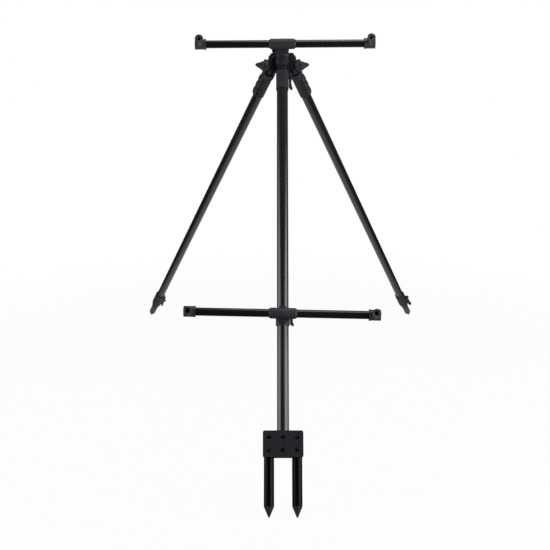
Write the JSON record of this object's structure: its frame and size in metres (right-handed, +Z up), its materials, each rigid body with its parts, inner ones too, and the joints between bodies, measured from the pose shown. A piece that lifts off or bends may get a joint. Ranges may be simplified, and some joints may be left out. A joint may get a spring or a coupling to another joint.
{
  "type": "rod pod",
  "caption": "Black fishing rod pod: a leaning main tube on a spiked fork, folding telescopic legs, and sliding cross bars with threaded end sockets for alarms and rod rests.",
  "frame": {"origin": "on the ground at the centre of the part's box, halfway between the fork points and the leg points", "axes": "+X to the right seen from the fork side, +Y from the fork points to the leg points, +Z up; the part stands on its four points as in use"},
  "size_m": [0.7932, 1.2376, 0.8692],
  "materials": {
    "black_tube": "gloss black anodised drawn tube",
    "black_nylon": "moulded glass-filled nylon, fine matt",
    "grip_rubber": "soft moulded rubber",
    "shoe_nylon": "plain moulded nylon",
    "tip_alloy": "matt dark anodised turned alloy",
    "black_steel": "black oxide on steel",
    "black_brass": "turned brass, blackened"
  },
  "bodies": {
    "main_bar": {"main_tube": "black_tube", "top_plug": "black_nylon", "fork_front_shell": "black_nylon", "fork_rear_shell": "black_nylon", "fork_screws": "black_steel", "fork_nuts": "black_steel", "left_spike_tube": "black_tube", "right_spike_tube": "black_tube", "left_spike_tip": "tip_alloy", "right_spike_tip": "tip_alloy"},
    "leg_bracket": {"leg_bracket": "black_nylon", "bracket_shoe": "shoe_nylon", "bracket_lever_pin": "black_steel", "left_pivot_bolt": "black_steel", "right_pivot_bolt": "black_steel"},
    "bracket_lever": {"bracket_lever": "black_nylon"},
    "front_bar": {"front_clamp": "black_nylon", "front_bar_tube": "black_tube", "front_left_socket": "black_nylon", "front_right_socket": "black_nylon", "front_left_insert": "black_brass", "front_right_insert": "black_brass", "front_shoe": "shoe_nylon", "front_lever_pin": "black_steel"},
    "front_lever": {"front_lever": "black_nylon"},
    "rear_bar": {"rear_clamp": "black_nylon", "rear_bar_tube": "black_tube", "rear_left_socket": "black_nylon", "rear_right_socket": "black_nylon", "rear_left_insert": "black_brass", "rear_right_insert": "black_brass", "rear_shoe": "shoe_nylon", "rear_lever_pin": "black_steel"},
    "rear_lever": {"rear_lever": "black_nylon"},
    "left_leg": {"left_leg_head": "black_nylon", "left_grip_pad": "grip_rubber", "left_leg_tube": "black_tube", "left_leg_collar": "black_nylon", "left_leg_shoe": "shoe_nylon", "left_leg_lever_pin": "black_steel"},
    "left_extension": {"left_inner_tube": "black_tube", "left_guide_bush": "shoe_nylon", "left_leg_spike": "tip_alloy"},
    "left_leg_lever": {"left_leg_lever": "black_nylon"},
    "left_knob": {"left_knob": "black_nylon"},
    "right_leg": {"right_leg_head": "black_nylon", "right_grip_pad": "grip_rubber", "right_leg_tube": "black_tube", "right_leg_collar": "black_nylon", "right_leg_shoe": "shoe_nylon", "right_leg_lever_pin": "black_steel"},
    "right_extension": {"right_inner_tube": "black_tube", "right_guide_bush": "shoe_nylon", "right_leg_spike": "tip_alloy"},
    "right_leg_lever": {"right_leg_lever": "black_nylon"},
    "right_knob": {"right_knob": "black_nylon"}
  },
  "joints": [
    {"name": "bracket_slide", "type": "slide", "parent": "main_bar", "child": "leg_bracket", "axis": [0, 0.488, 0.8728], "range_m": [-0.2, 0]},
    {"name": "front_bar_slide", "type": "slide", "parent": "main_bar", "child": "front_bar", "axis": [0, 0.488, 0.8728], "range_m": [0, 0.04]},
    {"name": "rear_bar_slide", "type": "slide", "parent": "main_bar", "child": "rear_bar", "axis": [0, 0.488, 0.8728], "range_m": [-0.19, 0.25]},
    {"name": "bracket_lever_hinge", "type": "hinge", "parent": "leg_bracket", "child": "bracket_lever", "pos_m": [0.0166, -0.18098, 0.78181], "axis": [0, -0.8728, 0.488], "range_deg": [0, 110]},
    {"name": "front_lever_hinge", "type": "hinge", "parent": "front_bar", "child": "front_lever", "pos_m": [-0.01735, -0.15121, 0.83505], "axis": [0, 0.8728, -0.488], "range_deg": [0, 110]},
    {"name": "rear_lever_hinge", "type": "hinge", "parent": "rear_bar", "child": "rear_lever", "pos_m": [0.01735, -0.42939, 0.33754], "axis": [0, -0.8728, 0.488], "range_deg": [0, 110]},
    {"name": "left_leg_hinge", "type": "hinge", "parent": "leg_bracket", "child": "left_leg", "pos_m": [-0.022, -0.14888, 0.79823], "axis": [0.9432, 0.2899, -0.1621], "range_deg": [-73, 0]},
    {"name": "left_extension_slide", "type": "slide", "parent": "left_leg", "child": "left_extension", "axis": [-0.3193, 0.6569, -0.6831], "range_m": [0, 0.55]},
    {"name": "left_leg_lever_hinge", "type": "hinge", "parent": "left_leg", "child": "left_leg_lever", "pos_m": [-0.34509, 0.55392, 0.06977], "axis": [0.0916, -0.696, -0.7121], "range_deg": [0, 110]},
    {"name": "left_knob_turn", "type": "hinge", "parent": "leg_bracket", "child": "left_knob", "pos_m": [-0.022, -0.14888, 0.79823], "axis": [0.9432, 0.2899, -0.1621], "continuous": true},
    {"name": "right_leg_hinge", "type": "hinge", "parent": "leg_bracket", "child": "right_leg", "pos_m": [0.022, -0.14888, 0.79823], "axis": [0.9432, -0.2899, 0.1621], "range_deg": [-73, 0]},
    {"name": "right_extension_slide", "type": "slide", "parent": "right_leg", "child": "right_extension", "axis": [0.3193, 0.6569, -0.6831], "range_m": [0, 0.55]},
    {"name": "right_leg_lever_hinge", "type": "hinge", "parent": "right_leg", "child": "right_leg_lever", "pos_m": [0.37735, 0.54401, 0.07531], "axis": [-0.0916, -0.696, -0.7121], "range_deg": [0, 110]},
    {"name": "right_knob_turn", "type": "hinge", "parent": "leg_bracket", "child": "right_knob", "pos_m": [0.022, -0.14888, 0.79823], "axis": [0.9432, -0.2899, 0.1621], "continuous": true}
  ]
}
